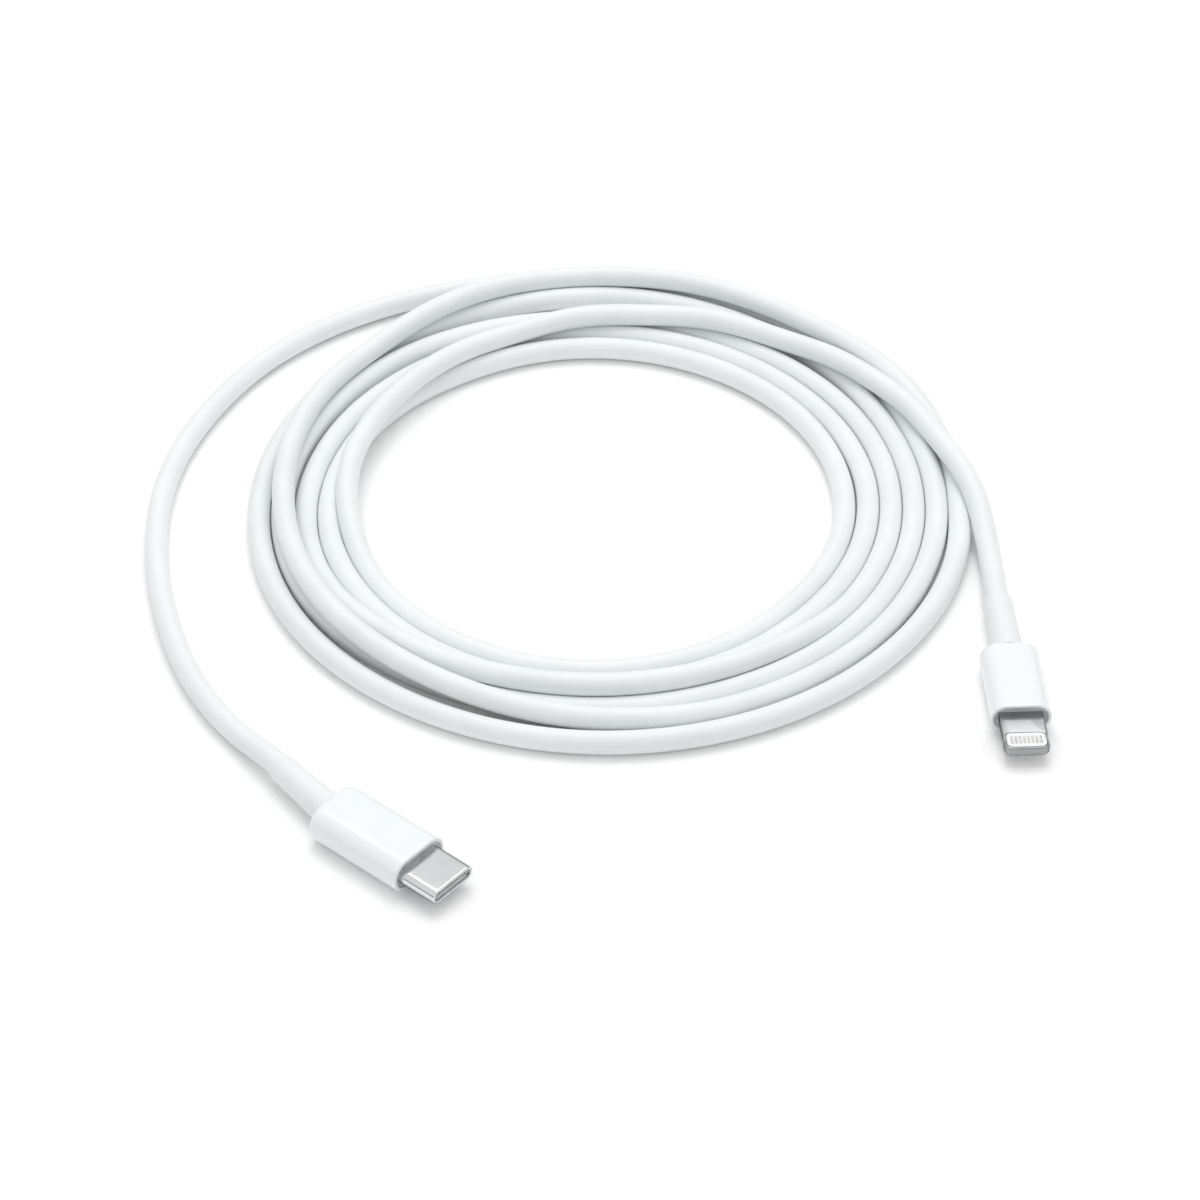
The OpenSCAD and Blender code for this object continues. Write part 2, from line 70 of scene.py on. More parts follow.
CHARGER = dict(
    name="charger_plug", mount="charger_plug_end", reach=SHELL_OUT,
    length=17.3, width=10.4, height=5.6, corner=2.7, wall=0.6, floor=1.0,
    rear_side=1.4, rear_top=0.4, hole=2.2,
    relief=12.1, lean=8.9, root=2.5, tip=2.1, collar_back=-5.5,
)
PHONE = dict(
    name="phone_plug", mount="phone_plug_end", reach=TONGUE_OUT,
    length=14.8, width=9.1, height=5.0, corner=2.4, wall=0.5, floor=1.0,
    rear_side=1.2, rear_top=0.4, hole=2.0,
    relief=11.9, lean=-0.4, root=2.35, tip=2.3, collar_back=-6.2,
)

# Where the cord lies between each strain relief and the coil, from the coil's centre
CHARGER_ROUTE = [
    [-51.6, -56, 2], [-56.3, -49.9, 1.8], [-60.3, -42.6, 1.8], [-63.5, -34.7, 1.8], [-65.9, -26.3, 1.8],
    [-67.8, -18, 1.8], [-68.8, -9, 1.8], [-69, 0, 1.8], [-68, 9, 1.8], [-65.6, 18, 1.8],
    [-61.8, 27, 1.8], [-57, 35.5, 1.8], [-50.6, 43, 1.8], [-43, 49.4, 1.8], [-34.6, 54.4, 1.8],
    [-25.6, 58, 1.8], [-16, 60.4, 1.8], [-6, 61.4, 1.8], [4, 61.1, 1.8]]
PHONE_ROUTE = [
    [62.1, -21.5, 2.2], [62, -16.5, 1.9], [61.7, -11, 2.3], [61, -5.5, 3.4], [59.4, 0.5, 4.7],
    [57.4, 7, 5.3]]

# How each turn of the coil lies: its radius and height above the surface at eight stations, the
# first at the far side of the coil and each next one 45 degrees further clockwise seen from above
STATION = 45
TURNS = [
    [(61.1, 1.8), (57.5, 1.8), (54.7, 1.8), (53.2, 3.4), (52.2, 5.0), (50.4, 5.2), (49.3, 5.2), (52.6, 5.2)],
    [(59.2, 4.9), (57.0, 5.2), (58.4, 2.2), (58.0, 1.8), (56.8, 1.8), (54.7, 1.8), (53.2, 1.8), (54.0, 1.8)],
    [(56.9, 1.8), (53.2, 1.8), (51.0, 1.8), (50.0, 1.8), (49.6, 1.8), (49.8, 1.8), (49.5, 1.8), (50.5, 1.8)],
    [(49.6, 1.8), (48.5, 1.8), (47.4, 1.8), (46.9, 3.6), (46.9, 5.0), (45.8, 4.6), (45.4, 1.8), (45.5, 1.8)],
    [(45.9, 1.8), (44.5, 1.8), (43.8, 1.8), (43.6, 1.8), (44.6, 1.8), (43.6, 1.8), (41.7, 1.8), (41.3, 1.8)],
    [(41.9, 1.8), (40.8, 1.8), (39.9, 1.8), (40.3, 1.8), (41.0, 1.8), (40.1, 1.8), (39.9, 4.9), (41.0, 5.4)],
    [(46.3, 5.3), (52.0, 5.2), (59.3, 5.0)],
]
COIL_START = 80            # azimuth where the first turn takes over from the charger's route
COIL_END = 18              # azimuth in the last turn where the phone plug's route takes over
COIL_STEP = 5
RELIEF_SIDES = 40
FIT = 0.01                 # clearance where one piece sits in another


# ---- places ----

def plug_frame(plug):
    """The matrix from a plug's own frame, in millimetres, to the row frame, in metres."""
    mounts = frame["record"]["mounts"]
    mount = next(m for m in mounts if m["name"] == plug["mount"])
    forward = Vector(mount["axis"]).normalized()
    up = Vector((0, 0, 1))
    left = up.cross(forward)
    origin = Vector(mount["pos_m"]) - forward * plug["reach"] * MM
    turn = Matrix((forward, left, up)).transposed().to_4x4()
    return Matrix.Translation(origin) @ turn @ Matrix.Scale(MM, 4)


for plug in (CHARGER, PHONE):
    plug["frame"] = plug_frame(plug)

coil_low, coil_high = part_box("cord_coil")
COIL_CENTRE = Vector(((coil_low.x + coil_high.x) / 2, (coil_low.y + coil_high.y) / 2, 0))


def relief_line(plug, steps=12):
    """Centre line of a strain relief: straight at the housing, a short bend, then on at its lean."""
    bend, root = 0.15, 0.45
    across = plug["relief"] * sin(radians(plug["lean"]))
    back = plug["relief"] * cos(radians(plug["lean"]))
    line = [Vector((-plug["length"], 0, 0))]
    for k in range(steps + 1):
        s = k / steps
        share = s * s / (2 * bend) if s < bend else s - bend / 2
        line.append(Vector((
            -plug["length"] - root - (back - root) * s, across * share / (1 - bend / 2), 0)))
    return line


# ---- camera ----

CAMERA_TARGET = Vector((COIL_CENTRE.x + 1 * MM, COIL_CENTRE.y - 22 * MM, 0))
CAMERA_DISTANCE = 554.3 * MM
CAMERA_RISE = radians(40)

camera_data = bpy.data.cameras.new("camera")
camera_data.lens = 107.25
camera_data.sensor_width = 36
camera_data.clip_start = 0.01
camera = bpy.data.objects.new("camera", camera_data)
bpy.context.scene.collection.objects.link(camera)
camera.location = CAMERA_TARGET + CAMERA_DISTANCE * Vector((0, -cos(CAMERA_RISE), sin(CAMERA_RISE)))
camera.rotation_euler = (pi / 2 - CAMERA_RISE, 0, 0)
bpy.context.scene.camera = camera


# ---- meshes ----

def finish_mesh(name, mesh, material, sharp=35):
    """Merges doubles, turns the faces outwards, and makes the mesh a smooth piece that rides."""
    work = bmesh.new()
    work.from_mesh(mesh)
    bmesh.ops.remove_doubles(work, verts=work.verts, dist=0.002 * MM)
    bmesh.ops.recalc_face_normals(work, faces=work.faces)
    work.to_mesh(mesh)
    work.free()
    mesh.name = name
    mesh.shade_smooth()
    mesh.set_sharp_from_angle(angle=radians(sharp))
    mesh.materials.clear()
    mesh.materials.append(material)
    piece = bpy.data.objects.new(name, mesh)
    bpy.context.scene.collection.objects.link(piece)
    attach(piece, BODY)
    return piece


def skin(rings, place=Matrix(), tube=False):
    """A mesh through rings of points: a tube whose wall closes on itself, or a rod with capped ends.

    Its UV map holds the distance along and the distance round, both in metres.
    """
    n = len(rings[0])
    rows = [[place @ Vector(p) for p in ring] for ring in rings]
    faces = []
    for i in range(len(rows) if tube else len(rows) - 1):
        a, b = i * n, (i + 1) % len(rows) * n
        faces += [(a + k, a + (k + 1) % n, b + (k + 1) % n, b + k) for k in range(n)]
    if not tube:
        faces += [tuple(reversed(range(n))), tuple(range((len(rows) - 1) * n, len(rows) * n))]
    mesh = bpy.data.meshes.new("skin")
    mesh.from_pydata([p for row in rows for p in row], [], faces)
    along = [0.0]
    for a, b in zip(rows, rows[1:]):
        along.append(along[-1] + max((q - p).length for p, q in zip(a, b)))
    around = [[0.0] for _ in rows]
    for row, sums in zip(rows, around):
        for k in range(n):
            sums.append(sums[-1] + (row[(k + 1) % n] - row[k]).length)
    layer = mesh.uv_layers.new(name="UVMap").data
    for face in mesh.polygons:
        quad = len(face.vertices) == 4 and face.index < len(rows) * n
        for corner, loop in enumerate(face.loop_indices):
            i, k = divmod(face.vertices[corner], n)
            if quad and k == 0 and corner in (1, 2):
                k = n
            layer[loop].uv = (along[i], around[i][k])
    return mesh


def rounded_section(x, w, h, r, arc=10, flat=5):
    """Points round a rounded rectangle at x, the same number for every size."""
    r = min(r, w / 2, h / 2)
    corners = [(1, 1), (-1, 1), (-1, -1), (1, -1)]
    points = []
    for q, (sy, sz) in enumerate(corners):
        cy, cz = sy * (w / 2 - r), sz * (h / 2 - r)
        for k in range(arc + 1):
            a = radians(90 * (q + k / arc))
            points.append((x, cy + r * cos(a), cz + r * sin(a)))
        ny, nz = corners[(q + 1) % 4]
        end = points[-1]
        turn = radians(90 * (q + 1))
        start = (x, ny * (w / 2 - r) + r * cos(turn), nz * (h / 2 - r) + r * sin(turn))
        for k in range(1, flat + 1):
            t = k / (flat + 1)
            points.append(tuple(a + (b - a) * t for a, b in zip(end, start)))
    return points


def quarter(steps=6):
    """Pairs that go round a quarter circle, from (0, 1) to (1, 0)."""
    return [(1 - cos(pi / 2 * k / steps), 1 - sin(pi / 2 * k / steps)) for k in range(steps + 1)]


# ---- cord ----

def smooth_line(points, step):
    """A smooth line through the points, cut into equal steps."""
    p = np.array(points, float)
    t = np.concatenate([[0], np.cumsum(np.linalg.norm(np.diff(p, axis=0), axis=1))])
    slope = np.gradient(p, t, axis=0)
    dense = []
    for i in range(len(p) - 1):
        h = t[i + 1] - t[i]
        u = np.linspace(0, 1, 24, endpoint=False)[:, None]
        dense.append(
            (2 * u**3 - 3 * u**2 + 1) * p[i] + (u**3 - 2 * u**2 + u) * h * slope[i]
            + (3 * u**2 - 2 * u**3) * p[i + 1] + (u**3 - u**2) * h * slope[i + 1]
        )
    dense = np.concatenate(dense + [p[-1:]])
    s = np.concatenate([[0], np.cumsum(np.linalg.norm(np.diff(dense, axis=0), axis=1))])
    even = np.linspace(0, s[-1], max(2, round(s[-1] / step)) + 1)
    return np.stack([np.interp(even, s, dense[:, k]) for k in range(3)], 1)


def coil_points():
    """The coil's turns, worked out from how each turn lies at its stations."""
    stations = np.array([s for turn in TURNS for s in turn])
    where = np.arange(len(stations)) * STATION
    slope = np.gradient(stations, where, axis=0)
    first = 90 - COIL_START
    last = 360 * (len(TURNS) - 1) + 90 - COIL_END
    points = []
    for turned in range(first, last + 1, COIL_STEP):
        i = min(turned // STATION, len(stations) - 2)
        u = turned / STATION - i
        r, z = (
            (2 * u**3 - 3 * u**2 + 1) * stations[i] + (u**3 - 2 * u**2 + u) * STATION * slope[i]
            + (3 * u**2 - 2 * u**3) * stations[i + 1] + (u**3 - u**2) * STATION * slope[i + 1]
        )
        azimuth = radians(90 - turned)
        points.append((r * cos(azimuth), r * sin(azimuth), max(z, CORD_D / 2)))
    return points


def settle(line, rounds=260):
    """Lets the cord settle: turns that press into each other part, and what floats sinks.

    Every round pushes each point away from nearby stretches of the cord, bends the line back
    towards smooth, lets it sink a little, and keeps it near its own place and on the surface.
    """
    home = line.copy()
    n = len(line)
    room = CORD_D * 1.005
    order = np.arange(n)
    sink = np.array([0, 0, 0.012])
    held = np.ones((n, 1))
    held[:4] = held[-4:] = 0
    for step in range(rounds):
        if step % 10 == 0:
            gap = np.linalg.norm(line[:, None] - line[None, :-1], axis=2)
            apart = np.abs(order[:, None] - order[None, :-1]) > 5
            point, part = np.nonzero((gap < 2.6 * CORD_D) & apart)
        a, b = line[part], line[part + 1]
        along = b - a
        t = np.clip(((line[point] - a) * along).sum(1) / (along**2).sum(1), 0, 1)[:, None]
        away = line[point] - (a + t * along)
        far = np.linalg.norm(away, axis=1, keepdims=True)
        push = away / np.maximum(far, 1e-6) * np.maximum(room - far, 0) * 0.25
        shift = np.zeros_like(line)
        np.add.at(shift, point, push)
        np.add.at(shift, part, -push * (1 - t))
        np.add.at(shift, part + 1, -push * t)
        bend = np.zeros_like(line)
        bend[2:-2] = line[:-4] - 4 * line[1:-3] + 6 * line[2:-2] - 4 * line[3:-1] + line[4:]
        pull = (home - line) * np.array([0.02, 0.02, 0])
        line = line + held * (shift - 0.05 * bend + pull - sink)
        line[:, 2] = np.where(held[:, 0] > 0, np.maximum(line[:, 2], CORD_D / 2), line[:, 2])
    return line


def from_coil(plug, local):
    """A point of a plug's own frame, in millimetres from the coil's centre."""
    return (plug["frame"] @ local - COIL_CENTRE) / MM


def cord_line():
    """The whole cord, from inside one strain relief round the coil to inside the other."""
    ends = []
    for plug in (CHARGER, PHONE):
        line = relief_line(plug)
        ahead = (line[-1] - line[-2]).normalized()
        ends.append([from_coil(plug, line[-1] + ahead * d) for d in (-1.5, 0, 2.5)])
    route = ends[0] + CHARGER_ROUTE + coil_points() + PHONE_ROUTE[::-1] + ends[1][::-1]
    return smooth_line(settle(smooth_line(route, PART_STEP)), CORD_STEP)


def round_rings(line, radii, sides):
    """Circles square to a line, without twist, one at each of its points."""
    line = [Vector(p) for p in line]
    rings = []
    side = None
    for i, point in enumerate(line):
        ahead = (line[min(i + 1, len(line) - 1)] - line[max(i - 1, 0)]).normalized()
        if side is None:
            side = ahead.cross(Vector((0, 0, 1))).normalized()
        side = (side - ahead * side.dot(ahead)).normalized()
        up = side.cross(ahead)
        rings.append([
            point + radii[i] * (cos(2 * pi * k / sides) * side + sin(2 * pi * k / sides) * up)
            for k in range(sides)])
    return rings


# ---- materials ----

def linear(code):
    """An sRGB hex colour as linear red, green, blue and alpha."""
    parts = [int(code[k:k + 2], 16) / 255 for k in (0, 2, 4)]
    return [p / 12.92 if p <= 0.04045 else ((p + 0.055) / 1.055) ** 2.4 for p in parts] + [1]


def add(tree, kind, inputs, **settings):
    """Adds a node with its settings, and fills each input with a value or a link."""
    node = tree.nodes.new(kind)
    for key, value in settings.items():
        setattr(node, key, value)
    for key, value in inputs.items():
        if isinstance(value, bpy.types.NodeSocket):
            tree.links.new(value, node.inputs[key])
        else:
            node.inputs[key].default_value = value
    return node


WAVE_SCALE = 2 * pi / 10     # the scale at which a wave texture repeats once in every unit


def surface(name, light, dark, patch, rough, grain, bump, along=None, **shader):
    """A material whose tone and gloss vary over patches and whose surface has a grain.

    patch and grain are sizes in millimetres, bump the grain's height in millimetres, and rough
    the lowest and highest roughness. along stretches the grain along the piece by that much,
    on its UV map.
    """
    material = bpy.data.materials.new(name)
    material.use_nodes = True
    tree = material.node_tree
    gloss = tree.nodes["Principled BSDF"]
    for socket, value in shader.items():
        gloss.inputs[socket.replace("_", " ")].default_value = value
    coords = add(tree, "ShaderNodeTexCoord", {})
    place = coords.outputs["Object"]
    patches = add(tree, "ShaderNodeTexNoise", {
        "Vector": place, "Scale": 1 / (patch * MM), "Detail": 3.0, "Roughness": 0.55})
    if along:
        place = add(tree, "ShaderNodeMapping", {
            "Vector": coords.outputs["UV"], "Scale": (1 / along, 1, 1)}).outputs[0]
    grains = add(tree, "ShaderNodeTexNoise", {
        "Vector": place, "Scale": 1 / (grain * MM), "Detail": 2.0, "Roughness": 0.6})
    tone = add(tree, "ShaderNodeMapRange", {
        "Value": patches.outputs["Fac"], "From Min": 0.3, "From Max": 0.7})
    mix = add(tree, "ShaderNodeMix", {
        "Factor": tone.outputs["Result"], 6: linear(dark), 7: linear(light)}, data_type="RGBA")
    tree.links.new(mix.outputs[2], gloss.inputs["Base Color"])
    dull = add(tree, "ShaderNodeMapRange", {
        "Value": grains.outputs["Fac"] if along else patches.outputs["Fac"],
        "From Min": 0.3, "From Max": 0.7, "To Min": rough[0], "To Max": rough[1]})
    tree.links.new(dull.outputs["Result"], gloss.inputs["Roughness"])
    relief = add(tree, "ShaderNodeBump", {
        "Height": grains.outputs["Fac"], "Distance": bump * MM, "Strength": 0.6})
    tree.links.new(relief.outputs["Normal"], gloss.inputs["Normal"])
    return material


def cord_jacket():
    # Thermoplastic elastomer, extruded: satin, with faint cloudy patches and the slight helical
    # swell of the twisted conductors below it. Its 0.1 mm grain is drawn at 0.35 mm to show.
    material = surface(
        "tpe_cord_jacket_extruded", "eef1f1", "e9ecec", 9, (0.40, 0.52), 0.35, 0.006,
        IOR=1.5, Specular_IOR_Level=0.4)
    tree = material.node_tree
    lay, swell = 11.0, 0.018
    uv = add(tree, "ShaderNodeTexCoord", {}).outputs["UV"]
    turned = add(tree, "ShaderNodeMapping", {
        "Vector": uv, "Scale": (1 / (lay * MM), 1 / (pi * CORD_D * MM), 1)})
    wave = add(tree, "ShaderNodeTexWave", {
        "Vector": turned.outputs[0], "Scale": WAVE_SCALE, "Distortion": 0.0},
        bands_direction="DIAGONAL")
    old = next(n for n in tree.nodes if n.bl_idname == "ShaderNodeBump")
    helix = add(tree, "ShaderNodeBump", {
        "Height": wave.outputs["Fac"], "Distance": swell * MM, "Strength": 0.5,
        "Normal": old.outputs["Normal"]})
    tree.links.new(helix.outputs["Normal"], tree.nodes["Principled BSDF"].inputs["Normal"])
    return material


def relief_plastic():
    # The same elastomer, overmoulded: a shade smoother and more even than the extruded cord
    return surface(
        "tpe_strain_relief_overmoulded", "edf0f0", "e9ecec", 6, (0.40, 0.48), 0.4, 0.005,
        IOR=1.5, Specular_IOR_Level=0.4)


def housing_plastic():
    # Polycarbonate, injection moulded in a polished tool: glossy white with a faint orange peel
    return surface(
        "polycarbonate_housing_moulded", "f0f4f5", "edf1f2", 7, (0.16, 0.24), 1.3, 0.004,
        IOR=1.58, Coat_Weight=0.15, Coat_Roughness=0.1)


def collar_plastic():
    # Glass-filled nylon, moulded: light grey and matt, with a fine fibre grain
    return surface("nylon_collar_moulded", "dcdfe0", "b4b7b9", 2, (0.45, 0.6), 0.2, 0.01, IOR=1.53)


def white_collar_plastic():
    # The housing's polycarbonate, moulded against a textured tool: white and satin
    return surface("polycarbonate_collar_textured", "e9eced", "e3e6e7", 3, (0.4, 0.5), 0.3, 0.006, IOR=1.58)


def steel_shell():
    # Stainless steel, deep drawn and polished: bright, with faint draw lines along the plug
    return surface(
        "stainless_shell_deep_drawn", "e6e8ea", "dfe1e3", 3, (0.09, 0.15), 0.12, 0.0015,
        along=25, Metallic=1.0, Specular_Tint=linear("707274"))


def tongue_steel():
    # Stainless steel, metal injection moulded and bead blasted: a soft light-grey sheen
    return surface(
        "stainless_tongue_bead_blasted", "a9abac", "9fa1a2", 2.5, (0.26, 0.34), 0.12, 0.003,
        Metallic=1.0, Specular_Tint=linear("8c8e90"))


def stamped_steel():
    # Spring steel strip, stamped and tin plated: satin, with rolling marks too fine to see apart
    return surface(
        "spring_steel_stamped", "c9cbcc", "b9bbbd", 1.5, (0.24, 0.38), 0.15, 0.003, Metallic=1.0)


def inner_mould_plastic():
    # Low-pressure polyamide, moulded round the crimp: warm white and slightly cloudy
    return surface("polyamide_inner_mould", "efeade", "e2dccb", 3, (0.4, 0.55), 0.4, 0.01, IOR=1.53)


def board_laminate():
    # Glass-fibre laminate under green solder mask: glossy, with the cloth's weave just showing
    return surface("fibreglass_board_masked", "1f6b43", "165234", 0.5, (0.2, 0.35), 0.25, 0.006, IOR=1.55)


def chip_plastic():
    # Filled epoxy, transfer moulded: near black and matt
    return surface("epoxy_chip_moulded", "2b2c2d", "222324", 0.8, (0.5, 0.65), 0.1, 0.004, IOR=1.55)


def wire_sleeve():
    # Polyvinyl chloride, extruded round each wire: red with a soft gloss
    return surface("pvc_wire_sleeve_extruded", "c4453a", "b23a30", 1.2, (0.3, 0.4), 0.2, 0.003, IOR=1.54)


def insulator_plastic():
    # Liquid-crystal polymer, moulded: off-white, with flow marks that turn it matt in places
    return surface("lcp_insulator_moulded", "eceded", "e0e2e2", 1, (0.4, 0.6), 0.15, 0.004, IOR=1.6)


def insert_plastic():
    # Liquid-crystal polymer, moulded white and lapped flush with the steel: smooth and even
    return surface("lcp_contact_insert_lapped", "f3f4f4", "ecedee", 1.5, (0.24, 0.34), 0.15, 0.002, IOR=1.6)


def palladium_contact():
    # Copper, plated with nickel and palladium: pale grey, with light wear along the wiped middle
    return surface(
        "copper_palladium_plated", "cccccb", "c1c1bf", 0.6, (0.22, 0.38), 0.1, 0.001, Metallic=1.0)


def gold_contact():
    # Copper alloy, plated with hard gold: warm and bright
    return surface("copper_gold_plated", "e6c37a", "d9b266", 0.6, (0.18, 0.3), 0.1, 0.001, Metallic=1.0)


JACKET, RELIEF, HOUSING = cord_jacket(), relief_plastic(), housing_plastic()
COLLAR, WHITE_COLLAR = collar_plastic(), white_collar_plastic()
SHELL, TONGUE = steel_shell(), tongue_steel()
STAMPED, CONTACT = stamped_steel(), palladium_contact()

FINISHES = {
    "cord_coil": JACKET, "cord_end": JACKET, "tail": JACKET, "strain_relief": RELIEF,
    "housing": HOUSING, "front_collar": COLLAR, "steel_shell": SHELL, "tongue_frame": TONGUE,
    "crimp_ring": STAMPED, "shield_top": STAMPED, "shield_bottom": STAMPED, "mid_plate": STAMPED,
    "latch": STAMPED, "ground_spring": STAMPED, "inner_mould": inner_mould_plastic(),
    "board": board_laminate(), "chips": chip_plastic(), "wires": wire_sleeve(),
    "insulator": insulator_plastic(), "contact_insert": insert_plastic(), "contacts": gold_contact(),
}
for node_name, node_object in frame["nodes"].items():
    finish = next(f for ending, f in FINISHES.items() if node_name.endswith(ending))
    node_object.data.materials.clear()
    node_object.data.materials.append(finish)


# ---- plugs ----

def housing_piece(plug):
    """A thin rounded shell with a rim at the mouth, soft rear edges and a hole for the relief."""
    length, wall, hole = plug["length"], plug["wall"], plug["hole"]
    size = plug["width"], plug["height"], plug["corner"]
    rear = plug["rear_top"]
    outer_edge, inner_edge = 0.22, 0.14

    def section(x, side, top, corner):
        return rounded_section(x, size[0] - 2 * side, size[1] - 2 * top, size[2] - corner)

    def inset(x, by):
        return section(x, by, by, by)

    hole_ring = (2 * hole, 2 * hole, hole)
    rings = [rounded_section(-length, *hole_ring)]
    for along, out in quarter(8):
        rings.append(section(-length + along * plug["rear_side"], out * plug["rear_side"],
                             out * rear, out * rear))
    rings += [inset(x, 0) for x in (-length + plug["rear_side"] + 0.3, -length / 2, -outer_edge - 0.3)]
    rings += [inset(-outer_edge * out, outer_edge * along) for along, out in reversed(quarter())][::-1]
    rings += [inset(-inner_edge * along, wall - inner_edge * out) for along, out in quarter()]
    rings += [inset(x, wall) for x in (-inner_edge - 0.3, -length / 2, -length + plug["floor"])]
    rings.append(rounded_section(-length + plug["floor"], *hole_ring))
    name = plug["name"] + "_housing_shell"
    piece = finish_mesh(name, skin(rings, plug["frame"], tube=True), HOUSING)
    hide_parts(plug["name"] + "_housing")
    return piece


def relief_piece(plug):
    """A tapered sleeve that ends in a small rounded lip round the cord."""
    line = relief_line(plug, 16)
    lip, bore = 0.25, CORD_D / 2 + FIT
    start = Vector((-plug["length"] + plug["floor"], 0, 0))
    root = Vector((-plug["length"], 0, 0))
    neck = plug["hole"] - FIT
    path = [start, root] + line
    radii = [neck, neck]
    for k in range(len(line)):
        radii.append(plug["root"] + (plug["tip"] - plug["root"]) * k / (len(line) - 1))
    end, ahead = line[-1], (line[-1] - line[-2]).normalized()
    path.pop()
    tip = radii.pop()
    for along, out in quarter(5):
        path.append(end - ahead * lip * (1 - along))
        radii.append(max(tip - lip * (1 - sqrt(max(0, 1 - along**2))), bore))
    rings = round_rings(path, radii, RELIEF_SIDES)
    inner = round_rings(path, [bore] * len(path), RELIEF_SIDES)
    mesh = skin(rings + inner[::-1], plug["frame"], tube=True)
    piece = finish_mesh(plug["name"] + "_relief_sleeve", mesh, RELIEF, sharp=50)
    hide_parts(plug["name"] + "_strain_relief")
    return piece


def collar_piece(plug, hole_w, hole_h, hole_r, rim_x, dish_x, finish):
    """The plastic that closes the mouth round the metal, dished from the rim towards the metal."""
    w = plug["width"] - 2 * plug["wall"] - FIT
    h = plug["height"] - 2 * plug["wall"] - FIT
    r = plug["corner"] - plug["wall"]
    back = plug["collar_back"]
    rings = [rounded_section(back, w, h, r), rounded_section(rim_x - 0.2, w, h, r)]
    steps = 8
    for k in range(steps + 1):
        s = k / steps
        x = rim_x + (dish_x - rim_x) * sin(pi / 2 * s)
        rings.append(rounded_section(
            x, w + (hole_w - w) * s, h + (hole_h - h) * s, r + (hole_r - r) * s))
    rings.append(rounded_section(back, hole_w, hole_h, hole_r))
    mesh = skin(rings, plug["frame"], tube=True)
    piece = finish_mesh(plug["name"] + "_dished_collar", mesh, finish)
    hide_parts(plug["name"] + "_front_collar")
    return piece


def shell_piece():
    """The charger plug's stadium-shaped steel shell, its front edge rolled round and inwards."""
    back, roll, lip = -4.5, 0.24, 0.45

    def inset(x, by):
        return rounded_section(x, SHELL_W - 2 * by, SHELL_H - 2 * by, SHELL_H / 2 - by, arc=16)

    rings = [inset(x, 0) for x in (back, 0, SHELL_OUT / 2, SHELL_OUT - roll - 0.3, SHELL_OUT - roll - 0.06)]
    rings += [inset(SHELL_OUT - roll * out, roll * along) for along, out in quarter(8)]
    rings += [inset(SHELL_OUT - 0.1 * along, lip - 0.1 * out) for along, out in quarter(3)]
    rings += [inset(SHELL_OUT - lip, lip), inset(SHELL_OUT - lip - 0.12, SHELL_WALL)]
    rings += [inset(x, SHELL_WALL) for x in (SHELL_OUT / 2, back)]
    mesh = skin(rings, CHARGER["frame"], tube=True)
    piece = finish_mesh("charger_plug_rolled_shell", mesh, SHELL)
    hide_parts("charger_plug_steel_shell")
    return piece


def arc(cx, cy, r, start, end, steps=8):
    """Points on an arc, from one angle to another in degrees."""
    angles = [radians(start + (end - start) * k / steps) for k in range(steps + 1)]
    return [(cx + r * cos(a), cy + r * sin(a)) for a in angles]


def plate(name, outlines, thick, edge):
    """A flat plate with rounded edges, from an outline and its holes, in a plug's own frame."""
    curve = bpy.data.curves.new(name, "CURVE")
    curve.dimensions = "2D"
    curve.fill_mode = "BOTH"
    for outline in outlines:
        spline = curve.splines.new("POLY")
        spline.points.add(len(outline) - 1)
        spline.use_cyclic_u = True
        for point, (x, y) in zip(spline.points, outline):
            point.co = (x, y, 0, 1)
    curve.extrude = thick / 2 - edge
    curve.bevel_depth = edge
    curve.bevel_resolution = 3
    curve.offset = -edge
    holder = bpy.data.objects.new(name, curve)
    bpy.context.scene.collection.objects.link(holder)
    bpy.context.view_layer.update()
    mesh = bpy.data.meshes.new_from_object(holder.evaluated_get(bpy.context.evaluated_depsgraph_get()))
    bpy.data.objects.remove(holder)
    return mesh


def tongue_piece():
    """The phone plug's steel tongue: round front corners, a notch at each side and a window."""
    back, corner, notch_r, notch_from_tip, notch_out = -6, 1.1, 0.5, 2.4, 0.25
    half, window_w, window_r = TONGUE_W / 2, 5.9, 0.9
    reach = sqrt(notch_r**2 - notch_out**2)
    angle = np.degrees(np.arctan2(-notch_out, reach))
    x = TONGUE_OUT - notch_from_tip
    outline = arc(x, half + notch_out, notch_r, 180 - angle, 360 + angle)
    outline = [(back, half)] + outline + arc(TONGUE_OUT - corner, half - corner, corner, 90, 0)
    outline += [(px, -py) for px, py in reversed(outline)]
    x0, x1 = TONGUE_OUT - 3.5, TONGUE_OUT - 0.5
    window = []
    for sx, sy, start in ((1, 1, 0), (-1, 1, 90), (-1, -1, 180), (1, -1, 270)):
        cx = x1 - window_r if sx > 0 else x0 + window_r
        window += arc(cx, sy * (window_w / 2 - window_r), window_r, start, start + 90, 6)
    mesh = plate("tongue", [outline, window], TONGUE_H, 0.28)
    mesh.transform(PHONE["frame"])
    piece = finish_mesh("phone_plug_steel_tongue", mesh, TONGUE, sharp=40)
    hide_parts("phone_plug_tongue_frame")
    return piece


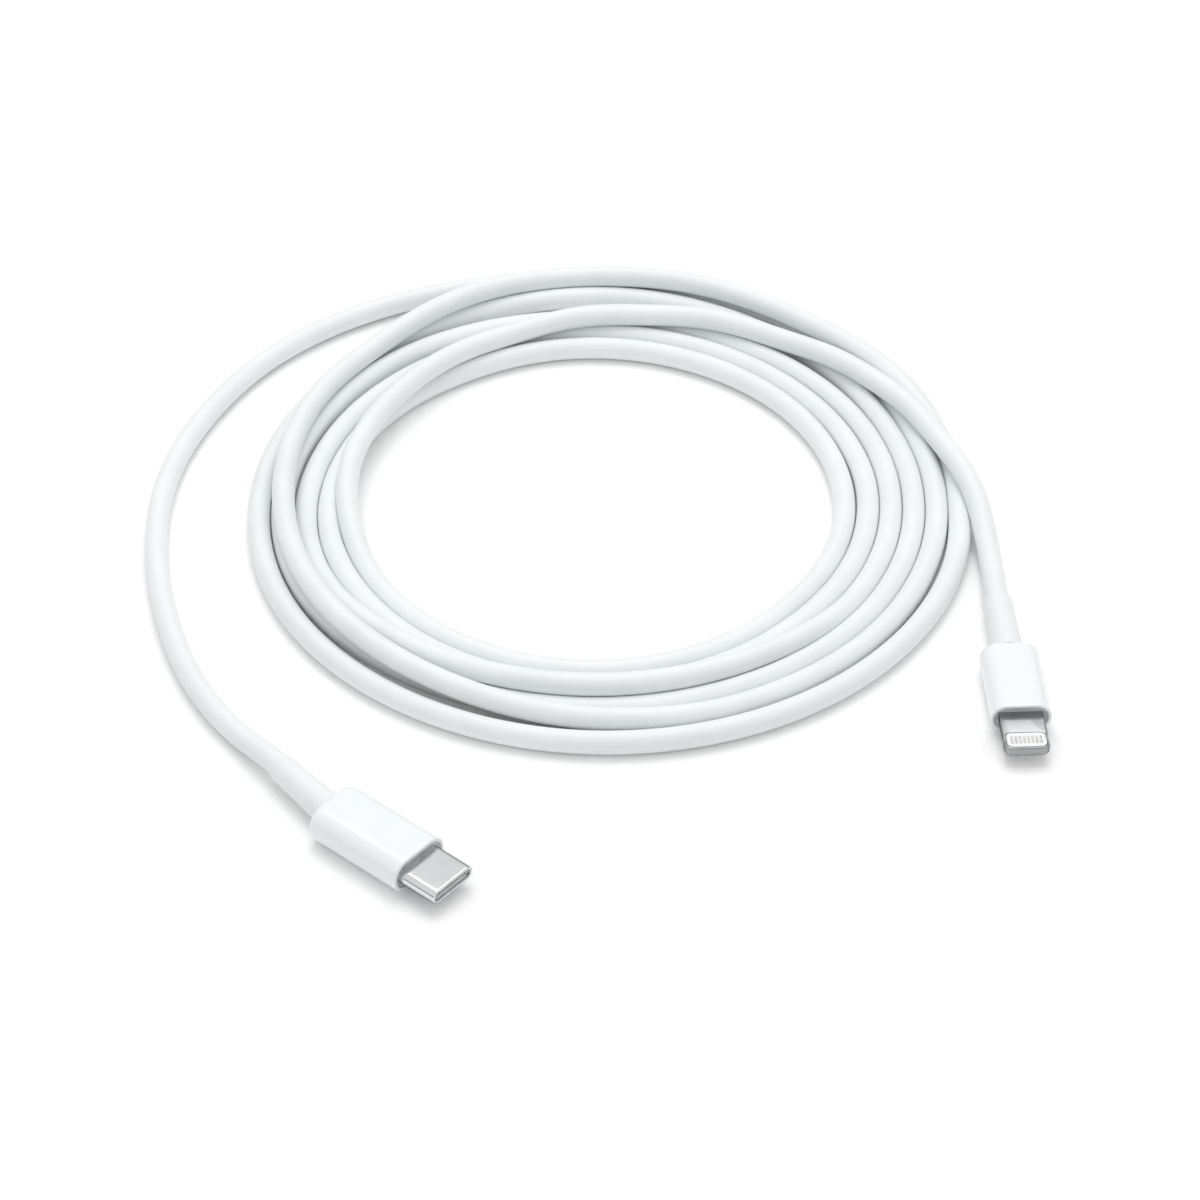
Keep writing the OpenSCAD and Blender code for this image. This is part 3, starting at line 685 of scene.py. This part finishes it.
def pad_row_tree():
    """Geometry Nodes for a row of round-cornered contact pads, centred on the axis."""
    tree = bpy.data.node_groups.new("contact pad row", "GeometryNodeTree")
    tree.interface.new_socket("Geometry", in_out="OUTPUT", socket_type="NodeSocketGeometry")
    sockets = {}
    for name, kind in (("Count", "Int"), ("Pitch", "Float"), ("Length", "Float"), ("Width", "Float"),
                       ("Corner", "Float"), ("Rise", "Float"), ("Finish", "Material")):
        sockets[name] = tree.interface.new_socket(name, in_out="INPUT", socket_type="NodeSocket" + kind)
    given = tree.nodes.new("NodeGroupInput").outputs
    outline = add(tree, "GeometryNodeCurvePrimitiveQuadrilateral", {
        "Width": given["Length"], "Height": given["Width"]})
    rounded = add(tree, "GeometryNodeFilletCurve", {
        "Curve": outline.outputs[0], "Radius": given["Corner"], "Count": 5}, mode="POLY")
    top = add(tree, "GeometryNodeFillCurve", {"Curve": rounded.outputs[0]}, mode="NGONS")
    raised = add(tree, "GeometryNodeExtrudeMesh", {
        "Mesh": top.outputs[0], "Offset Scale": given["Rise"], "Individual": False})
    base = add(tree, "GeometryNodeFlipFaces", {"Mesh": top.outputs[0]})
    solid = add(tree, "GeometryNodeJoinGeometry", {})
    tree.links.new(base.outputs[0], solid.inputs[0])
    tree.links.new(raised.outputs[0], solid.inputs[0])
    closed = add(tree, "GeometryNodeMergeByDistance", {
        "Geometry": solid.outputs[0], "Distance": 0.001 * MM})
    steps = add(tree, "ShaderNodeMath", {0: given["Count"], 1: 1.0}, operation="SUBTRACT")
    span = add(tree, "ShaderNodeMath", {0: steps.outputs[0], 1: given["Pitch"]}, operation="MULTIPLY")
    first = add(tree, "ShaderNodeMath", {0: span.outputs[0], 1: -0.5}, operation="MULTIPLY")
    start = add(tree, "ShaderNodeCombineXYZ", {"Y": first.outputs[0]})
    step = add(tree, "ShaderNodeCombineXYZ", {"Y": given["Pitch"]})
    line = add(tree, "GeometryNodeMeshLine", {
        "Count": given["Count"], "Start Location": start.outputs[0], "Offset": step.outputs[0]})
    row = add(tree, "GeometryNodeInstanceOnPoints", {
        "Points": line.outputs[0], "Instance": closed.outputs[0]})
    real = add(tree, "GeometryNodeRealizeInstances", {"Geometry": row.outputs[0]})
    dressed = add(tree, "GeometryNodeSetMaterial", {
        "Geometry": real.outputs[0], "Material": given["Finish"]})
    out = tree.nodes.new("NodeGroupOutput")
    tree.links.new(dressed.outputs[0], out.inputs[0])
    return tree, {name: socket.identifier for name, socket in sockets.items()}


def pad_row_piece(tree, inputs, name, node, side):
    """One row of contact pads on the upper (side 1) or lower (side -1) face of the tongue."""
    holder = bpy.data.objects.new(name + "_maker", bpy.data.meshes.new(name + "_maker"))
    bpy.context.scene.collection.objects.link(holder)
    modifier = holder.modifiers.new("pads", "NODES")
    modifier.node_group = tree
    sunk = 0.02
    values = dict(Count=PAD_COUNT, Pitch=PAD_PITCH * MM, Length=PAD_LENGTH * MM, Width=PAD_WIDTH * MM,
                  Corner=0.09 * MM, Rise=(PAD_RISE + sunk) * MM, Finish=CONTACT)
    for key, value in values.items():
        modifier[inputs[key]] = value
    bpy.context.view_layer.update()
    mesh = bpy.data.meshes.new_from_object(holder.evaluated_get(bpy.context.evaluated_depsgraph_get()))
    bpy.data.objects.remove(holder)
    centre = Vector((TONGUE_OUT - 2.0, 0, TONGUE_H / 2 - PAD_RISE - sunk))
    mesh.transform(Matrix.Scale(1 / MM, 4))
    turn = Matrix.Rotation(0 if side > 0 else pi, 4, "X")
    mesh.transform(PHONE["frame"] @ turn @ Matrix.Translation(centre))
    piece = finish_mesh(name, mesh, CONTACT)
    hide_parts(node)
    return piece


# ---- the pieces ----

LINE = cord_line()
cord_rings = round_rings(LINE, [CORD_D / 2] * len(LINE), CORD_SIDES)
to_row = Matrix.Translation(COIL_CENTRE) @ Matrix.Scale(MM, 4)
cord = finish_mesh("charging_cord", skin(cord_rings, to_row), JACKET, sharp=60)
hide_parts("cord_coil", "cord_charger_tail", "cord_phone_tail")

for plug in (CHARGER, PHONE):
    plug["pieces"] = [housing_piece(plug), relief_piece(plug)]
CHARGER["pieces"] += [
    collar_piece(CHARGER, SHELL_W + 2 * FIT, SHELL_H + 2 * FIT, SHELL_H / 2, -0.27, -0.39, COLLAR),
    shell_piece()]
PHONE["pieces"] += [
    collar_piece(PHONE, TONGUE_W + 2 * FIT, TONGUE_H + 2 * FIT, 0.3, -0.16, -0.7, WHITE_COLLAR),
    tongue_piece()]
pads, pad_inputs = pad_row_tree()
PHONE["pieces"] += [
    pad_row_piece(pads, pad_inputs, "phone_plug_upper_pads", "phone_plug_upper_contacts", 1),
    pad_row_piece(pads, pad_inputs, "phone_plug_lower_pads", "phone_plug_lower_contacts", -1)]


# ---- floor and light ----

def floor():
    # Matt white paper sweep: bright enough to go to plain white, with only soft contact shadows
    mesh = bpy.data.meshes.new("floor")
    half = 2.0
    low = -0.02 * MM
    corners = [(-half, -half, low), (half, -half, low), (half, half, low), (-half, half, low)]
    mesh.from_pydata(corners, [], [(0, 1, 2, 3)])
    material = surface("paper_sweep_uncoated", "fdfdfd", "fcfcfc", 60, (0.8, 0.9), 1.0, 0.002)
    material.node_tree.nodes["Principled BSDF"].inputs["Specular IOR Level"].default_value = 0
    mesh.materials.append(material)
    piece = bpy.data.objects.new("floor", mesh)
    bpy.context.scene.collection.objects.link(piece)


def softbox(name, place, size, power):
    """A square light that faces the cable."""
    data = bpy.data.lights.new(name, "AREA")
    data.shape = "SQUARE"
    data.size = size
    data.energy = power
    light = bpy.data.objects.new(name, data)
    light.location = place
    light.rotation_euler = (Vector(place) - CAMERA_TARGET).to_track_quat("Z", "Y").to_euler()
    bpy.context.scene.collection.objects.link(light)


floor()
softbox("overhead_softbox", (0.0, 0.42, 1.05), 0.7, 4.6)

world = bpy.data.worlds.new("studio")
world.use_nodes = True
# A white room: its walls are dimmer than its ceiling, which gives the steel something to reflect
room = world.node_tree
direction = add(room, "ShaderNodeTexCoord", {})
height = add(room, "ShaderNodeSeparateXYZ", {0: direction.outputs["Generated"]})
shade = add(room, "ShaderNodeMapRange", {
    "Value": height.outputs["Z"], "From Min": 0.0, "From Max": 0.35, "To Min": 0.12, "To Max": 0.82})
room.links.new(shade.outputs["Result"], room.nodes["Background"].inputs["Strength"])
room.nodes["Background"].inputs["Color"].default_value = linear("ffffff")
bpy.context.scene.world = world
bpy.context.scene.view_settings.view_transform = "Standard"
